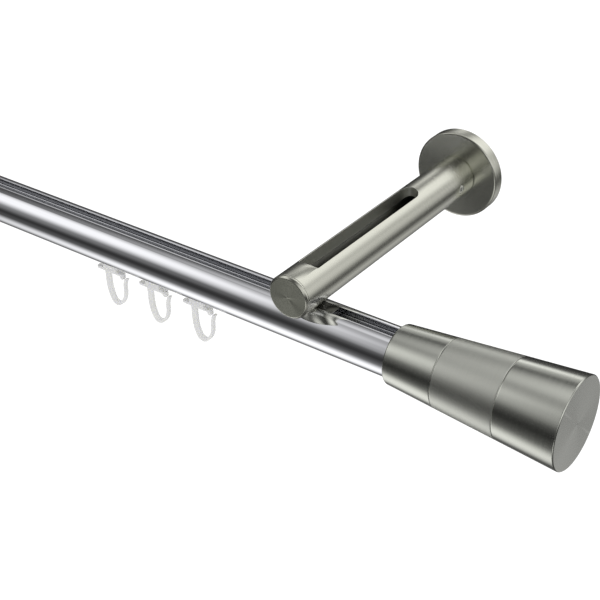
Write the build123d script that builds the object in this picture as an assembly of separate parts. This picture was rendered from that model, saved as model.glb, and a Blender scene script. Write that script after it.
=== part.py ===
from build123d import *
import os
from math import sqrt

# Curtain rod with inner track, two wall brackets, two turned finials and six hook gliders.
# Millimetres. X runs along the rod, the wall is the plane Y = 0 with the room at -Y, Z is up.
# The origin lies on the wall, midway between the two wall screws.

# Rail: a round extrusion with a T-groove on top and a glider track below
rail_length = 1000.0
rail_radius = 10.0
rail_wall = 1.3
land_width = 9.0
groove_slot_width = 5.4
groove_lip = 1.1
groove_width = 8.2
groove_height = 2.9
groove_wall = 1.2
groove_rib_height = 0.35
groove_rib_width = 0.5
groove_rib_spacing = 6.2
track_slot_width = 3.2
track_floor = 1.9
track_width = 8.4
track_guide_wall = 1.0
track_guide_height = 2.6

# Bracket: a slotted tube that stands out from the wall above the rail
bracket_inset = 55.6
arm_radius = 9.0
arm_bore_radius = 5.0
arm_length = 121.6
arm_edge = 0.8
cap_face_length = 1.6
cap_plug_length = 5.0
slot_width = 8.8
slot_front_inset = 14.0
slot_rear_inset = 39.6
slot_floor_drop = 4.0
clamp_from_slot_end = 0.8
rosette_radius = 19.5
rosette_length = 5.6
rosette_edge = 1.2
rosette_edge_depth = 0.4
spigot_length = 23.4
wall_screw_hole_radius = 2.6
grub_from_rosette = 10.2
grub_radius = 2.0
grub_key_width = 2.0
grub_key_depth = 1.6
grub_sink = 0.3

# Clamp: a cap screw in the arm's slot that pulls a nut up in the rail's groove
screw_radius = 2.5
screw_length = 8.0
screw_head_radius = 4.25
screw_head_height = 5.0
screw_key_width = 4.0
screw_key_depth = 2.5
nut_length = 23.0
nut_thickness = 2.4
nut_edge = 0.5

# Finial: a cone in three turned sections, pushed over the rail's end
finial_start_wall = 1.95
finial_flare = 5.85
finial_bore_depth = 16.0
finial_sleeve_length = 21.4
finial_middle_length = 26.0
finial_tip_length = 24.6
finial_start_edge = 0.65
finial_end_edge = 0.35
stud_radius = 3.0
finial_grub_inset = 8.0

# Glider: a head in the track, a neck through the slot, a bar and a hook
gliders_per_side = 3
glider_pitch = 25.0
glider_from_bracket = 59.3
head_length = 9.0
head_thickness = 1.8
head_corner = 1.2
neck_length = 8.0
bar_length = 15.6
bar_depth = 2.6
bar_thickness = 1.3
bar_drop = 4.2
bar_corner = 0.6
hook_depth = 1.8
hook_height = 16.5
nub_length = 2.2
nub_height = 1.6

# Clearances
sliding_gap = 0.1
clamp_gap = 0.05
socket_gap = 0.05
nut_slot_gap = 0.1
screw_slot_gap = 0.2
neck_gap = 0.3
stud_gap = 0.1

# Places worked out from the sizes above
land_height = sqrt(rail_radius**2 - (land_width / 2) ** 2)
groove_roof = land_height - groove_lip
groove_floor = groove_roof - groove_height
track_ledge = -(rail_radius - track_floor)
bracket_x = rail_length / 2 - bracket_inset
arm_rear_y = -rosette_length
arm_front_y = arm_rear_y - arm_length
slot_front_y = arm_front_y + slot_front_inset
slot_travel = arm_length - slot_front_inset - slot_rear_inset
rail_axis_y = slot_front_y + clamp_from_slot_end
rail_axis_z = -(land_height + clamp_gap + arm_radius)
lower_slot_width = 2 * (screw_radius + screw_slot_gap)
grub_y = arm_rear_y - grub_from_rosette
spigot_radius = arm_bore_radius - socket_gap
finial_bore = rail_radius + socket_gap
stud_hole_radius = stud_radius + stud_gap
finial_start_radius = finial_bore + finial_start_wall
finial_start_x = rail_length / 2 - finial_bore_depth
finial_length = finial_sleeve_length + finial_middle_length + finial_tip_length
bar_top = -(rail_radius + bar_drop)
bar_bottom = bar_top - bar_thickness

on_rail = Pos(0, rail_axis_y, rail_axis_z)
at_bottom = (Align.CENTER, Align.CENTER, Align.MIN)


def rod_along_x(radius, start, end):
    """Round bar on the X axis between two places."""
    return Pos(start, 0, 0) * Rot(0, 90, 0) * Cylinder(radius, end - start, align=at_bottom)


def rod_along_y(radius, start, end):
    """Round bar on the Y axis between two places."""
    return Pos(0, start, 0) * Rot(-90, 0, 0) * Cylinder(radius, end - start, align=at_bottom)


def hex_along_z(width, start, end):
    """Six-sided key hole, measured across its flats, on the Z axis."""
    return Pos(0, 0, start) * extrude(RegularPolygon(width / 2, 6, major_radius=False), end - start)


def turned_on_x(outline):
    """Solid of revolution on the X axis from points of place and radius."""
    section = make_face(Polyline(*outline, close=True))
    return revolve(Plane.XZ * section, Axis.X, 360)


def turned_on_y(outline):
    """Solid of revolution on the Y axis from points of radius and place."""
    section = make_face(Polyline(*outline, close=True))
    return revolve(section, Axis.Y, 360)


def band(width, low, high):
    """Upright rectangle centred on the rail's middle, between two heights."""
    return Pos(0, (low + high) / 2) * Rectangle(width, high - low)


def rail_section():
    """The extrusion's outline: outer round, T-groove with ribbed floor, open track with guides."""
    outside = Circle(rail_radius)
    groove_box = band(groove_width + 2 * groove_wall, groove_floor - groove_wall, rail_radius)
    track_box = band(
        track_width + 2 * track_guide_wall, -rail_radius, track_ledge + track_guide_height
    )
    section = outside - Circle(rail_radius - rail_wall)
    section += (groove_box + track_box) & outside
    section -= band(land_width, land_height, 2 * rail_radius)
    section -= band(groove_slot_width, groove_roof, 2 * rail_radius)
    section -= band(groove_width, groove_floor, groove_roof)
    section -= band(track_width, track_ledge, track_ledge + track_guide_height)
    section -= band(track_slot_width, -2 * rail_radius, track_ledge)
    for side in (-1, 1):
        rib = band(groove_rib_width, groove_floor - groove_rib_height, groove_floor + groove_rib_height)
        section += Pos(side * groove_rib_spacing / 2, 0) * rib
    return section


def rail():
    """The rail, one length of extrusion cut square at both ends."""
    bar = extrude(Plane.YZ * rail_section(), rail_length)
    return on_rail * Pos(-rail_length / 2, 0, 0) * bar


def slot_cutter(width, low, high):
    """Long hole with round ends, cut down through the arm along its length."""
    straight = Pos(0, slot_front_y + slot_travel / 2, low) * Box(
        width, slot_travel, high - low, align=at_bottom
    )
    ends = [
        Pos(0, slot_front_y + travel, low) * Cylinder(width / 2, high - low, align=at_bottom)
        for travel in (0, slot_travel)
    ]
    return straight + ends[0] + ends[1]


def bracket_arm():
    """Thick tube with a wide slot for the screw's head above and a narrow one for its shank below."""
    front = arm_front_y + cap_face_length
    tube = rod_along_y(arm_radius, front, arm_rear_y) - rod_along_y(arm_bore_radius, front, arm_rear_y)
    tube -= slot_cutter(slot_width, -slot_floor_drop, 2 * arm_radius)
    tube -= slot_cutter(lower_slot_width, -2 * arm_radius, -slot_floor_drop)
    grub_hole = Pos(0, grub_y, 0) * rod_along_x(grub_radius, 0, 2 * arm_radius)
    return Pos(bracket_x, 0, 0) * (tube - grub_hole)


def arm_front_cap():
    """Turned plug that closes the arm's front end, with a bevelled rim."""
    seat = arm_front_y + cap_face_length
    outline = [
        (0, arm_front_y),
        (arm_radius - arm_edge, arm_front_y),
        (arm_radius, arm_front_y + arm_edge),
        (arm_radius, seat),
        (arm_bore_radius - socket_gap, seat),
        (arm_bore_radius - socket_gap, seat + cap_plug_length),
        (0, seat + cap_plug_length),
    ]
    return Pos(bracket_x, 0, 0) * turned_on_y(outline)


def rosette():
    """Turned disc against the wall, with a bevelled rim and a hole for the wall screw."""
    outline = [
        (wall_screw_hole_radius, 0),
        (rosette_radius, 0),
        (rosette_radius, -rosette_length + rosette_edge_depth),
        (rosette_radius - rosette_edge, -rosette_length),
        (wall_screw_hole_radius, -rosette_length),
    ]
    return Pos(bracket_x, 0, 0) * turned_on_y(outline)


def wall_spigot():
    """Spigot on the rosette: the wall screw through its middle holds both, and it carries the arm."""
    end = arm_rear_y - spigot_length
    tube = rod_along_y(spigot_radius, end, arm_rear_y) - rod_along_y(wall_screw_hole_radius, end, arm_rear_y)
    return Pos(bracket_x, 0, 0) * tube


def grub_screw(tip, end):
    """Headless screw on the Z axis with a key hole in its outer end."""
    screw = Pos(0, 0, tip) * Cylinder(grub_radius, end - tip, align=at_bottom)
    return screw - hex_along_z(grub_key_width, end - grub_key_depth, end)


def arm_grub_screw():
    """Grub screw in the arm's side, tight on the spigot."""
    screw = grub_screw(arm_bore_radius, arm_radius - grub_sink)
    return Pos(bracket_x, grub_y, 0) * Rot(0, 90, 0) * screw


def clamp_screw():
    """Cap screw: its head stands on the slot's floor and its shank reaches into the nut."""
    seat = land_height + clamp_gap + arm_radius - slot_floor_drop + clamp_gap
    head = Cylinder(screw_head_radius, screw_head_height, align=at_bottom)
    head -= hex_along_z(screw_key_width, screw_head_height - screw_key_depth, screw_head_height)
    shank = Pos(0, 0, -screw_length) * Cylinder(screw_radius, screw_length, align=at_bottom)
    return on_rail * Pos(bracket_x, 0, seat) * (head + shank)


def slot_nut():
    """Nut for the rail's groove: a wide foot under the lips and a collar between them."""
    foot_top = groove_roof - clamp_gap
    foot_bottom = foot_top - nut_thickness
    collar_top = land_height - nut_slot_gap
    foot = Pos(0, 0, foot_bottom) * Box(
        nut_length, groove_width - 2 * nut_slot_gap, nut_thickness, align=at_bottom
    )
    foot = chamfer(foot.edges().filter_by(Axis.Z), nut_edge)
    collar = Pos(0, 0, foot_top) * Box(
        nut_length, groove_slot_width - 2 * nut_slot_gap, collar_top - foot_top, align=at_bottom
    )
    hole = Pos(0, 0, foot_bottom) * Cylinder(
        screw_radius + socket_gap, collar_top - foot_bottom, align=at_bottom
    )
    return on_rail * Pos(bracket_x, 0, 0) * (foot + collar - hole)


def cone_radius(place):
    """The finial's outer radius at a place along it."""
    return finial_start_radius + finial_flare * place / finial_length


def finial_sleeve():
    """First section: a sleeve over the rail's end, with a wall that holds the stud."""
    end = finial_sleeve_length
    outline = [
        (0, finial_bore),
        (0, cone_radius(0) - finial_start_edge),
        (finial_start_edge, cone_radius(finial_start_edge)),
        (end, cone_radius(end)),
        (end, stud_hole_radius),
        (finial_bore_depth, stud_hole_radius),
        (finial_bore_depth, finial_bore),
    ]
    sleeve = turned_on_x(outline)
    sleeve -= Pos(finial_grub_inset, 0, 0) * rod_along_y(grub_radius, 0, 2 * finial_start_radius)
    return on_rail * Pos(finial_start_x, 0, 0) * sleeve


def finial_middle():
    """Second section: a conical ring drawn tight between its neighbours."""
    start = finial_sleeve_length
    end = start + finial_middle_length
    outline = [
        (start, stud_hole_radius),
        (start, cone_radius(start)),
        (end, cone_radius(end)),
        (end, stud_hole_radius),
    ]
    return on_rail * Pos(finial_start_x, 0, 0) * turned_on_x(outline)


def finial_tip():
    """Last section: the wide end, in one piece with the stud that draws the sections together."""
    start = finial_sleeve_length + finial_middle_length
    rim = finial_length - finial_end_edge
    outline = [
        (finial_bore_depth + socket_gap, 0),
        (finial_bore_depth + socket_gap, stud_radius),
        (start, stud_radius),
        (start, cone_radius(start)),
        (rim, cone_radius(rim)),
        (finial_length, cone_radius(finial_length) - finial_end_edge),
        (finial_length, 0),
    ]
    return on_rail * Pos(finial_start_x, 0, 0) * turned_on_x(outline)


def finial_grub_screw():
    """Grub screw at the back of the sleeve, tight on the rail."""
    screw = grub_screw(rail_radius, cone_radius(finial_grub_inset) - grub_sink)
    return on_rail * Pos(finial_start_x + finial_grub_inset, 0, 0) * Rot(-90, 0, 0) * screw


def smooth_run(points):
    """A straight line between the first two points, then arcs that carry on without a corner."""
    run = [Line(points[0], points[1])]
    for point in points[2:]:
        run.append(TangentArc(run[-1] @ 1, point, tangent=run[-1] % 1))
    return run


def hook_outline():
    """The hook seen from the front: a thick leg, a round bottom and a thin springy leg with a lip."""
    low = bar_bottom - hook_height
    outer = smooth_run([
        (-3.2, bar_bottom),
        (-3.2, low + 10.4),
        (-1.1, low + 1.9),
        (3.9, low + 0.7),
        (8.3, low + 8.5),
        (8.4, low + 11.1),
        (10.1, low + 16.2),
    ])
    inner = smooth_run([
        (-0.7, bar_bottom),
        (-0.7, low + 10.9),
        (1.0, low + 3.3),
        (4.3, low + 2.7),
        (7.4, low + 9.1),
        (7.5, low + 11.2),
        (9.2, low + 15.7),
    ])
    root = Line(outer[0] @ 0, inner[0] @ 0)
    tip = Line(outer[-1] @ 1, inner[-1] @ 1)
    return make_face(outer + inner + [root, tip])


def front_plate(face):
    """Plate of the hook's depth from a face drawn in the view from the front."""
    return extrude(Plane.XZ.offset(-hook_depth / 2) * face, hook_depth)


def glider():
    """One moulded glider, its bar centred on X = 0 under the rail's axis."""
    head_base = track_ledge + sliding_gap
    head = Pos(0, 0, head_base) * Box(
        head_length, track_width - 2 * neck_gap, head_thickness, align=at_bottom
    )
    head = chamfer(head.edges().filter_by(Axis.Z), head_corner)
    neck = Pos(0, 0, bar_top) * Box(
        neck_length, track_slot_width - 2 * neck_gap, head_base - bar_top, align=at_bottom
    )
    bar = Pos(0, 0, bar_bottom) * Box(bar_length, bar_depth, bar_thickness, align=at_bottom)
    bar = chamfer(bar.edges().filter_by(Axis.Z), bar_corner)
    nub = Pos(bar_length / 2, 0, bar_bottom) * Box(
        nub_length, hook_depth, nub_height, align=(Align.MAX, Align.CENTER, Align.MAX)
    )
    nub = chamfer(nub.edges().filter_by(Axis.Y).group_by(Axis.Z)[0], bar_corner)
    return head + neck + bar + front_plate(hook_outline()) + nub


def glider_places():
    """Where the gliders' bars are centred, from the left end of the rod to the right."""
    nearest = bracket_x - glider_from_bracket
    right = [nearest - glider_pitch * i for i in range(gliders_per_side)]
    return sorted([-place for place in right] + right)


def save(name, shape):
    """Write one piece to its own file."""
    export_step(shape, f"parts/{name}.step")


os.makedirs("parts", exist_ok=True)

save("rail", rail())

paired_pieces = {
    "bracket_arm": bracket_arm,
    "arm_front_cap": arm_front_cap,
    "rosette": rosette,
    "wall_spigot": wall_spigot,
    "arm_grub_screw": arm_grub_screw,
    "clamp_screw": clamp_screw,
    "slot_nut": slot_nut,
    "finial_sleeve": finial_sleeve,
    "finial_middle": finial_middle,
    "finial_tip": finial_tip,
    "finial_grub_screw": finial_grub_screw,
}
for name, build in paired_pieces.items():
    piece = build()
    save(f"{name}_right", piece)
    save(f"{name}_left", mirror(piece, about=Plane.YZ))

one_glider = glider()
for number, place in enumerate(glider_places(), start=1):
    save(f"glider_{number}", on_rail * Pos(place, 0, 0) * one_glider)
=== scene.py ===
from math import asin, cos, pi, radians, sin, sqrt

import bmesh
import bpy
from mathutils import Matrix, Vector


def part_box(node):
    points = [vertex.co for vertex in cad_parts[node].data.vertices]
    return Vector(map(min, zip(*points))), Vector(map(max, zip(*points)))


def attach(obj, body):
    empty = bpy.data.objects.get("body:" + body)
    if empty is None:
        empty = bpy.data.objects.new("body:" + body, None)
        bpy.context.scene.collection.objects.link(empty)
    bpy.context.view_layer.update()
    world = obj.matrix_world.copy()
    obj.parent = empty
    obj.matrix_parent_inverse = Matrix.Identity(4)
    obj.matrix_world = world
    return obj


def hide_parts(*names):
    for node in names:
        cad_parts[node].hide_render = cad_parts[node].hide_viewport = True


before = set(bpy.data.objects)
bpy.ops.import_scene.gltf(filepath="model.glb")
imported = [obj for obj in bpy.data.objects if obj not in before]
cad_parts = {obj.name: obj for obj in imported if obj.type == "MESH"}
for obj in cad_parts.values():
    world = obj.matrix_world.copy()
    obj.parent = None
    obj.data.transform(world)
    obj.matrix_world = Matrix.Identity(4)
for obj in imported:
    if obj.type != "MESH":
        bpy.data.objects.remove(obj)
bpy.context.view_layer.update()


# Camera: looks down on the right-hand end of the rod from the room, from beyond its finial.
# Its place is measured from the point on the rail's axis under the right-hand arm.
mm = 0.001
rail_low, rail_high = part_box("rail")
arm_low, arm_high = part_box("bracket_arm_right")
rail_radius = (rail_high.y - rail_low.y) / 2
rail_axis = Vector((0, (rail_low.y + rail_high.y) / 2, rail_low.z + rail_radius))
arm_radius = (arm_high.x - arm_low.x) / 2
arm_axis_x = (arm_low.x + arm_high.x) / 2
under_arm = Vector((arm_axis_x, rail_axis.y, rail_axis.z))
camera_from_clamp = Vector((236.36, -315.12, 260.71)) * mm
camera_turn = (57.454, 1.287, 36.696)
camera_lens = 73.389
camera_sensor = 36.0


def placed(name, data):
    """Puts a mesh or a camera in the scene as an object at the origin."""
    thing = bpy.data.objects.new(name, data)
    bpy.context.scene.collection.objects.link(thing)
    return thing


camera_data = bpy.data.cameras.new("camera")
camera_data.lens = camera_lens
camera_data.sensor_width = camera_sensor
camera_data.clip_start = 0.01
camera = placed("camera", camera_data)
camera.location = under_arm + camera_from_clamp
camera.rotation_euler = [radians(angle) for angle in camera_turn]
bpy.context.scene.camera = camera
bpy.context.scene.view_settings.view_transform = "Standard"


# Studio: a white room with a pale floor far below. Metal sees it as a dim tent with large soft
# boxes in it and pools of light on the floor; matt surfaces get an even soft light, and the
# camera sees plain white behind the object.
soft_light = 0.95
floor_below = 3.0
floor_half = 15.0
floor_paint = (0.9, 0.9, 0.9, 1)
floor_lift = 0.3
# Each band of the tent: its height, from 0 straight down to 1 straight up, and its brightness.
tent_bands = [
    (0.00, 0.08),
    (0.15, 0.14),
    (0.29, 0.07),
    (0.40, 0.035),
    (0.46, 0.045),
    (0.50, 0.07),
    (0.55, 0.10),
    (0.62, 0.11),
    (0.75, 0.07),
    (1.00, 0.10),
]
# Each soft box or pool: compass angle from the room's side towards the right end, height angle,
# half width where it is full, half width where it ends, and strength.
soft_lights = [
    (-54, 32, 4, 28, 1.0),
    (-52, 8, 3, 22, 0.14),
    (-27, 21, 2, 16, 0.22),
    (-132, 27, 2, 12, 0.40),
    (-151, 28, 4, 22, 0.48),
    (-153, 22, 1, 11, 0.72),
    (160, 40, 8, 30, 1.25),
    (-172, 57, 2, 17, 1.00),
    (124, 11, 8, 37, 0.78),
    (-102, 78, 6, 40, 0.74),
    (78, 28, 5, 36, 0.85),
    (40, 30, 10, 38, 0.70),
    (25, -34, 8, 27, 0.90),
    (-65, -56, 4, 31, 1.05),
    (-40, -33, 0, 16, 0.07),
    (158, -42, 2, 30, 0.44),
    (-137, -36, 4, 24, 0.38),
]


def new_tree(name, kind, inputs, output):
    """An empty node tree with its named inputs, to be linked from, and its one output."""
    tree = bpy.data.node_groups.new(name, kind + "NodeTree")
    for socket, of_kind in inputs.items():
        tree.interface.new_socket(socket, in_out="INPUT", socket_type="NodeSocket" + of_kind)
    output_kind = "NodeSocketGeometry" if kind == "Geometry" else "NodeSocketFloat"
    tree.interface.new_socket(output, in_out="OUTPUT", socket_type=output_kind)
    given = tree.nodes.new("NodeGroupInput").outputs
    return tree, given, tree.nodes.new("NodeGroupOutput").inputs[0]


def wired(tree, kind, output, inputs=None, **settings):
    """Adds a node, each input linked to an output or set to a value, and gives one output of it."""
    node = tree.nodes.new(kind)
    for setting, value in settings.items():
        setattr(node, setting, value)
    for socket, value in (inputs or {}).items():
        if isinstance(value, bpy.types.NodeSocket):
            tree.links.new(value, node.inputs[socket])
        else:
            node.inputs[socket].default_value = value
    return node.outputs[output]


def reckoned(tree, operation, *values):
    """Adds a step of arithmetic with numbers."""
    return wired(tree, "ShaderNodeMath", 0, dict(enumerate(values)), operation=operation)


def vector_step(tree, operation, *values, output="Vector"):
    """Adds a step of arithmetic with vectors."""
    return wired(tree, "ShaderNodeVectorMath", output, dict(enumerate(values)), operation=operation)


def room_light_group():
    """How bright the room is in a direction: the dim tent and all its soft lights."""
    tree, given, level_out = new_tree("room_light", "Shader", {"Direction": "Vector"}, "Level")
    rise = wired(tree, "ShaderNodeSeparateXYZ", "Z", {"Vector": given["Direction"]})
    height = wired(tree, "ShaderNodeMapRange", "Result", {"Value": rise, "From Min": -1})
    total = wired(tree, "ShaderNodeValToRGB", "Color", {"Fac": height})
    bands = total.node.color_ramp
    bands.interpolation = "EASE"
    for place, _ in tent_bands[1:-1]:
        bands.elements.new(place)
    for stop, (_, level) in zip(bands.elements, tent_bands):
        stop.color = (level, level, level, 1)
    for *angles, strength in soft_lights:
        turn, lift, full, edge = [radians(angle) for angle in angles]
        middle = (sin(turn) * cos(lift), -cos(turn) * cos(lift), sin(lift))
        facing = vector_step(tree, "DOT_PRODUCT", given["Direction"], middle, output="Value")
        angle = reckoned(tree, "ARCCOSINE", facing)
        fade = {"Value": angle, "From Min": edge, "From Max": full, "To Max": strength}
        light = wired(tree, "ShaderNodeMapRange", "Result", fade, interpolation_type="SMOOTHSTEP")
        total = reckoned(tree, "ADD", total, light)
    tree.links.new(total, level_out)
    return tree


def seen_directly(tree):
    """One for what the camera sees, also through clear material, and nought for all other rays."""
    ray = tree.nodes.new("ShaderNodeLightPath").outputs
    return reckoned(tree, "MAXIMUM", ray["Is Camera Ray"], ray["Is Transmission Ray"])


def seen_in_metal(tree):
    """One for what is mirrored in metal, and nought where metal only passes light on to matt pieces."""
    ray = tree.nodes.new("ShaderNodeLightPath").outputs
    unspread = reckoned(tree, "LESS_THAN", ray["Diffuse Depth"], 0.5)
    return reckoned(tree, "MULTIPLY", ray["Is Glossy Ray"], unspread)


room_light = room_light_group()
world = bpy.data.worlds.new("studio")
world.use_nodes = True
world.cycles.sampling_method = "NONE"
bpy.context.scene.world = world
tent = world.node_tree
tent.nodes.clear()
direction = wired(tent, "ShaderNodeTexCoord", "Generated")
aim = {"Direction": direction}
tent_level = wired(tent, "ShaderNodeGroup", "Level", aim, node_tree=room_light)
choice = {"Factor": seen_in_metal(tent), "A": soft_light, "B": tent_level}
unseen_level = wired(tent, "ShaderNodeMix", "Result", choice)
choice = {"Factor": seen_directly(tent), "A": unseen_level, "B": 1}
white_light = {"Color": (1, 1, 1, 1), "Strength": wired(tent, "ShaderNodeMix", "Result", choice)}
tent_light = wired(tent, "ShaderNodeBackground", "Background", white_light)
tent.links.new(tent_light, tent.nodes.new("ShaderNodeOutputWorld").inputs["Surface"])

pale_floor = bpy.data.materials.new("pale_floor")
pale_floor.use_nodes = True
pale_floor.cycles.emission_sampling = "NONE"
boards = pale_floor.node_tree
boards.nodes.clear()
spot = wired(boards, "ShaderNodeTexCoord", "Object")
from_clamp = vector_step(boards, "SUBTRACT", spot, under_arm)
aim = {"Direction": vector_step(boards, "NORMALIZE", from_clamp)}
pool_level = wired(boards, "ShaderNodeGroup", "Level", aim, node_tree=room_light)
pool = wired(boards, "ShaderNodeEmission", "Emission", {"Strength": pool_level})
sheen_strength = reckoned(boards, "MULTIPLY", seen_directly(boards), floor_lift)
sheen = wired(boards, "ShaderNodeEmission", "Emission", {"Strength": sheen_strength})
paint = wired(boards, "ShaderNodeBsdfDiffuse", "BSDF", {"Color": floor_paint})
floor_as_seen = wired(boards, "ShaderNodeAddShader", "Shader", {0: paint, 1: sheen})
choice = {"Fac": seen_in_metal(boards), 1: floor_as_seen, 2: pool}
floor_choice = wired(boards, "ShaderNodeMixShader", "Shader", choice)
boards.links.new(floor_choice, boards.nodes.new("ShaderNodeOutputMaterial").inputs["Surface"])
floor_mesh = bpy.data.meshes.new("floor")
floor_corners = [(-floor_half, -floor_half), (floor_half, -floor_half)]
floor_corners += [(floor_half, floor_half), (-floor_half, floor_half)]
floor_mesh.from_pydata([(x, y, -floor_below) for x, y in floor_corners], [], [(0, 1, 2, 3)])
floor_mesh.materials.append(pale_floor)
placed("floor", floor_mesh)


# Rail: one length of extruded aluminium, polished bright. Round outside, with two flat lands and a
# T-groove along its top for the clamps' nuts, and an open track with guide walls for the gliders.
land_width = 9.0 * mm
land_fall = 1.25 * mm
land_ease = 0.5 * mm
groove_slot_width = 5.4 * mm
groove_lip = 1.1 * mm
groove_width = 8.2 * mm
groove_height = 2.9 * mm
groove_wall = 1.2 * mm
groove_cove = 0.7 * mm
lighter_cove_share = 0.8
rib_height = 0.35 * mm
rib_width = 0.5 * mm
rib_spacing = 6.2 * mm
rail_wall = 1.3 * mm
track_slot_width = 3.2 * mm
track_floor = 1.9 * mm
track_width = 8.4 * mm
guide_wall = 1.0 * mm
guide_height = 2.6 * mm
rail_edge = 0.1 * mm
arc_step = radians(2.5)
sharp_turn = radians(15)
rounded_share = 0.28
kept_beside = 0.6
weld_distance = 1e-7
land_height = sqrt(rail_radius**2 - (land_width / 2) ** 2)
groove_roof = land_height - groove_lip
groove_floor = groove_roof - groove_height
track_ledge = -(rail_radius - track_floor)


def arc_points(radius, start, end):
    """Points on a circle round the middle, from one angle to another, counted from the top."""
    count = max(2, round(abs(end - start) / arc_step))
    angles = [start + (end - start) * i / count for i in range(count + 1)]
    return [(radius * sin(angle), radius * cos(angle)) for angle in angles]


def bend(start, corner, end, steps=6):
    """Points on a smooth bend from a start to an end, drawn towards the corner between them."""
    start, corner, end = [Vector(point) for point in (start, corner, end)]
    shares = [k / steps for k in range(steps + 1)]
    return [start * (1 - t) ** 2 + corner * 2 * t * (1 - t) + end * t**2 for t in shares]


def half_rail_outline():
    """One half of the rail's section, from the middle of the groove's floor back to below it."""
    inside = rail_radius - rail_wall
    box_side = groove_width / 2 + groove_wall
    track_side = track_width / 2 + guide_wall
    guide_top = track_ledge + guide_height
    rib_left = (rib_spacing - rib_width) / 2
    rib_right = (rib_spacing + rib_width) / 2
    cove_start = (groove_width / 2 - groove_cove, groove_floor)
    cove_corner = (groove_width / 2, groove_floor)
    cove_end = (groove_width / 2, groove_floor + groove_cove)
    fall_start = (land_width / 2 - land_fall, land_height)
    fall_corner = (land_width / 2 - land_ease, land_height)
    skin_start = asin(land_width / 2 / rail_radius) + land_fall / rail_radius
    skin = arc_points(rail_radius, skin_start, pi - asin(track_slot_width / 2 / rail_radius))
    return [
        (rib_left, groove_floor),
        (rib_left, groove_floor + rib_height),
        (rib_right, groove_floor + rib_height),
        (rib_right, groove_floor),
        *bend(cove_start, cove_corner, cove_end),
        (groove_width / 2, groove_roof),
        (groove_slot_width / 2, groove_roof),
        (groove_slot_width / 2, land_height),
        *bend(fall_start, fall_corner, skin[0]),
        *skin[1:],
        (track_slot_width / 2, track_ledge),
        (track_width / 2, track_ledge),
        (track_width / 2, guide_top),
        (track_side, guide_top),
        *arc_points(inside, pi - asin(track_side / inside), asin(box_side / inside)),
        (box_side, groove_floor - groove_wall),
    ]


def rounded_outline(points, radius, closed=True):
    """The outline with each sharp corner made a small arc, and a point kept close on either side."""
    result = []
    for i, point in enumerate(points):
        here = Vector(point)
        before = Vector(points[i - 1]) - here
        after = Vector(points[(i + 1) % len(points)]) - here
        loose_end = not closed and i in (0, len(points) - 1)
        if loose_end or pi - before.angle(after) < sharp_turn:
            result.append(here)
            continue
        reach = min(radius, rounded_share * before.length, rounded_share * after.length)
        start = here + before.normalized() * reach
        end = here + after.normalized() * reach
        result.append(start + before.normalized() * reach * kept_beside)
        result += bend(start, here, end, steps=3)
        result.append(end + after.normalized() * reach * kept_beside)
    return result


def joined(tree, *parts):
    """Joins the geometry of several outputs into one."""
    join = tree.nodes.new("GeometryNodeJoinGeometry")
    for part in parts:
        tree.links.new(part, join.inputs["Geometry"])
    return join.outputs["Geometry"]


def finish_tree(tree, geometry, finish, output):
    """Ends a tree: makes all of it real, gives it the finish and puts it out."""
    real = wired(tree, "GeometryNodeRealizeInstances", "Geometry", {"Geometry": geometry})
    coated = {"Geometry": real, "Material": finish}
    tree.links.new(wired(tree, "GeometryNodeSetMaterial", "Geometry", coated), output)


def extrusion_tree():
    """Draws a flat section out to a length along the rod and closes both ends."""
    inputs = {"Section": "Geometry", "Length": "Float", "Finish": "Material"}
    tree, given, extrusion = new_tree("extruded_length", "Geometry", inputs, "Extrusion")
    along = wired(tree, "ShaderNodeCombineXYZ", "Vector", {"X": given["Length"]})
    pull = {"Mesh": given["Section"], "Offset": along, "Offset Scale": 1, "Individual": False}
    drawn = wired(tree, "GeometryNodeExtrudeMesh", "Mesh", pull)
    flipped = wired(tree, "GeometryNodeFlipFaces", "Mesh", {"Mesh": given["Section"]})
    closed = {"Geometry": joined(tree, drawn, flipped), "Distance": weld_distance}
    welded = wired(tree, "GeometryNodeMergeByDistance", "Geometry", closed)
    finish_tree(tree, welded, given["Finish"], extrusion)
    return tree


def plain_result(name, carrier):
    """Applies what is live on an object, and gives the result back as a plain mesh object."""
    layer = bpy.context.evaluated_depsgraph_get()
    mesh = bpy.data.meshes.new_from_object(carrier.evaluated_get(layer))
    bpy.data.objects.remove(carrier)
    return placed(name, mesh)


def run_tree(name, mesh, tree, values):
    """Runs a geometry tree on a mesh, with its named inputs set, and keeps the plain result."""
    carrier = placed(name + "_carrier", mesh)
    modifier = carrier.modifiers.new("tree", "NODES")
    modifier.node_group = tree
    for item in tree.interface.items_tree:
        if item.in_out == "INPUT" and item.name in values:
            modifier[item.identifier] = values[item.name]
    return plain_result(name, carrier)


def turned_outwards(piece):
    """Makes all faces of a closed piece point outwards."""
    shape = bmesh.new()
    shape.from_mesh(piece.data)
    bmesh.ops.recalc_face_normals(shape, faces=shape.faces)
    shape.to_mesh(piece.data)
    shape.free()


def extruded(name, outline, start_x, end_x, middle, finish):
    """A length of extrusion along the rod from an outline of points beside and above its middle."""
    mesh = bpy.data.meshes.new(name)
    corners = [(start_x, middle.y + y, middle.z + z) for y, z in outline]
    mesh.from_pydata(corners, [], [list(range(len(corners)))])
    mesh.materials.append(finish)
    piece = run_tree(name, mesh, extrusion_tree(), {"Length": end_x - start_x, "Finish": finish})
    turned_outwards(piece)
    return piece


grain_low = 0.3
grain_high = 0.7


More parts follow.
